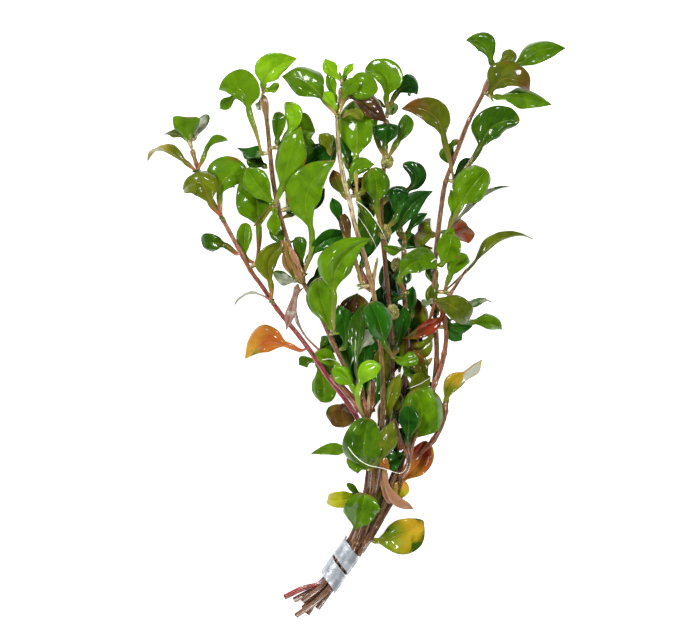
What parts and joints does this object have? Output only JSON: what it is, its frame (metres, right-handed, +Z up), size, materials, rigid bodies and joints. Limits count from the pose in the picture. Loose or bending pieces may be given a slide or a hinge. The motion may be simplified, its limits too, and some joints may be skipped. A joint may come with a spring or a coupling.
{
  "type": "bunch of aquarium plant cuttings",
  "caption": "Bunch of leafy aquarium stem cuttings held near their cut ends by a wound lead strip, lying down with its shoot tips fanned out.",
  "frame": {"origin": "middle of the lead strip's flat underside, on the surface that the bunch lies on", "axes": "+Y from the lead strip to the shoot tips, +Z up from the surface, +X to the right seen from above"},
  "size_m": [0.1696, 0.2343, 0.042],
  "materials": {
    "leaf_green": "gloss",
    "leaf_dark": "gloss",
    "leaf_olive": "gloss",
    "leaf_yellow": "gloss",
    "leaf_orange": "gloss",
    "leaf_brown": "gloss",
    "leaf_faded": "satin",
    "stem_red": "satin",
    "stem_brown": "satin",
    "stem_pale": "satin",
    "lead": "satin"
  },
  "bodies": {
    "root": {"lead_strip": "lead", "stem_left": "stem_red", "stem_mid_left": "stem_pale", "stem_centre": "stem_pale", "stem_mid_right": "stem_brown", "stem_short": "stem_brown", "stem_right": "stem_brown", "stem_low": "stem_brown", "tip_left": "leaf_olive", "pair_left_top": "leaf_yellow", "sprig_left_upper": "leaf_green", "sprig_left_middle": "leaf_green", "pair_left_middle": "leaf_olive", "pair_left_lower": "leaf_brown", "sprig_left_lower": "leaf_green", "tip_mid_left": "leaf_green", "pair_mid_left_top": "leaf_green", "sprig_mid_left_top": "leaf_green", "sprig_mid_left_upper": "leaf_green", "sprig_mid_left_side": "leaf_dark", "sprig_mid_left_middle": "leaf_green", "pair_mid_left_lower": "leaf_green", "sprig_mid_left_lower": "leaf_green", "tip_centre": "leaf_green", "pair_centre": "leaf_green", "sprig_centre_upper": "leaf_green", "sprig_centre_lower": "leaf_dark", "tip_mid_right": "leaf_olive", "sprig_mid_right": "leaf_dark", "pair_mid_right": "leaf_green", "pair_mid_right_lower": "leaf_dark", "tip_short": "leaf_green", "sprig_short": "leaf_green", "tip_right": "leaf_green", "sprig_right_top": "leaf_olive", "sprig_right_upper": "leaf_olive", "sprig_right_middle": "leaf_green", "sprig_right_side": "leaf_olive", "sprig_right_front": "leaf_olive", "sprig_right_under": "leaf_faded", "sprig_right_lower": "leaf_green", "sprig_low_upper": "leaf_green", "sprig_low": "leaf_yellow", "leaf_left_upper": "leaf_green", "leaf_left_middle": "leaf_orange", "leaf_left_lower": "leaf_brown", "leaf_mid_left_upper": "leaf_dark", "leaf_mid_left_lower": "leaf_green", "leaf_right_top": "leaf_green", "leaf_right_upper": "leaf_brown", "leaf_right_middle": "leaf_green", "leaf_right_inner": "leaf_brown", "leaf_right_outer": "leaf_orange", "leaf_right_lower": "leaf_orange", "leaf_mid_right": "leaf_olive", "leaf_low_left": "leaf_green", "leaf_low_front": "leaf_green", "leaf_low_right": "leaf_yellow"}
  },
  "joints": []
}
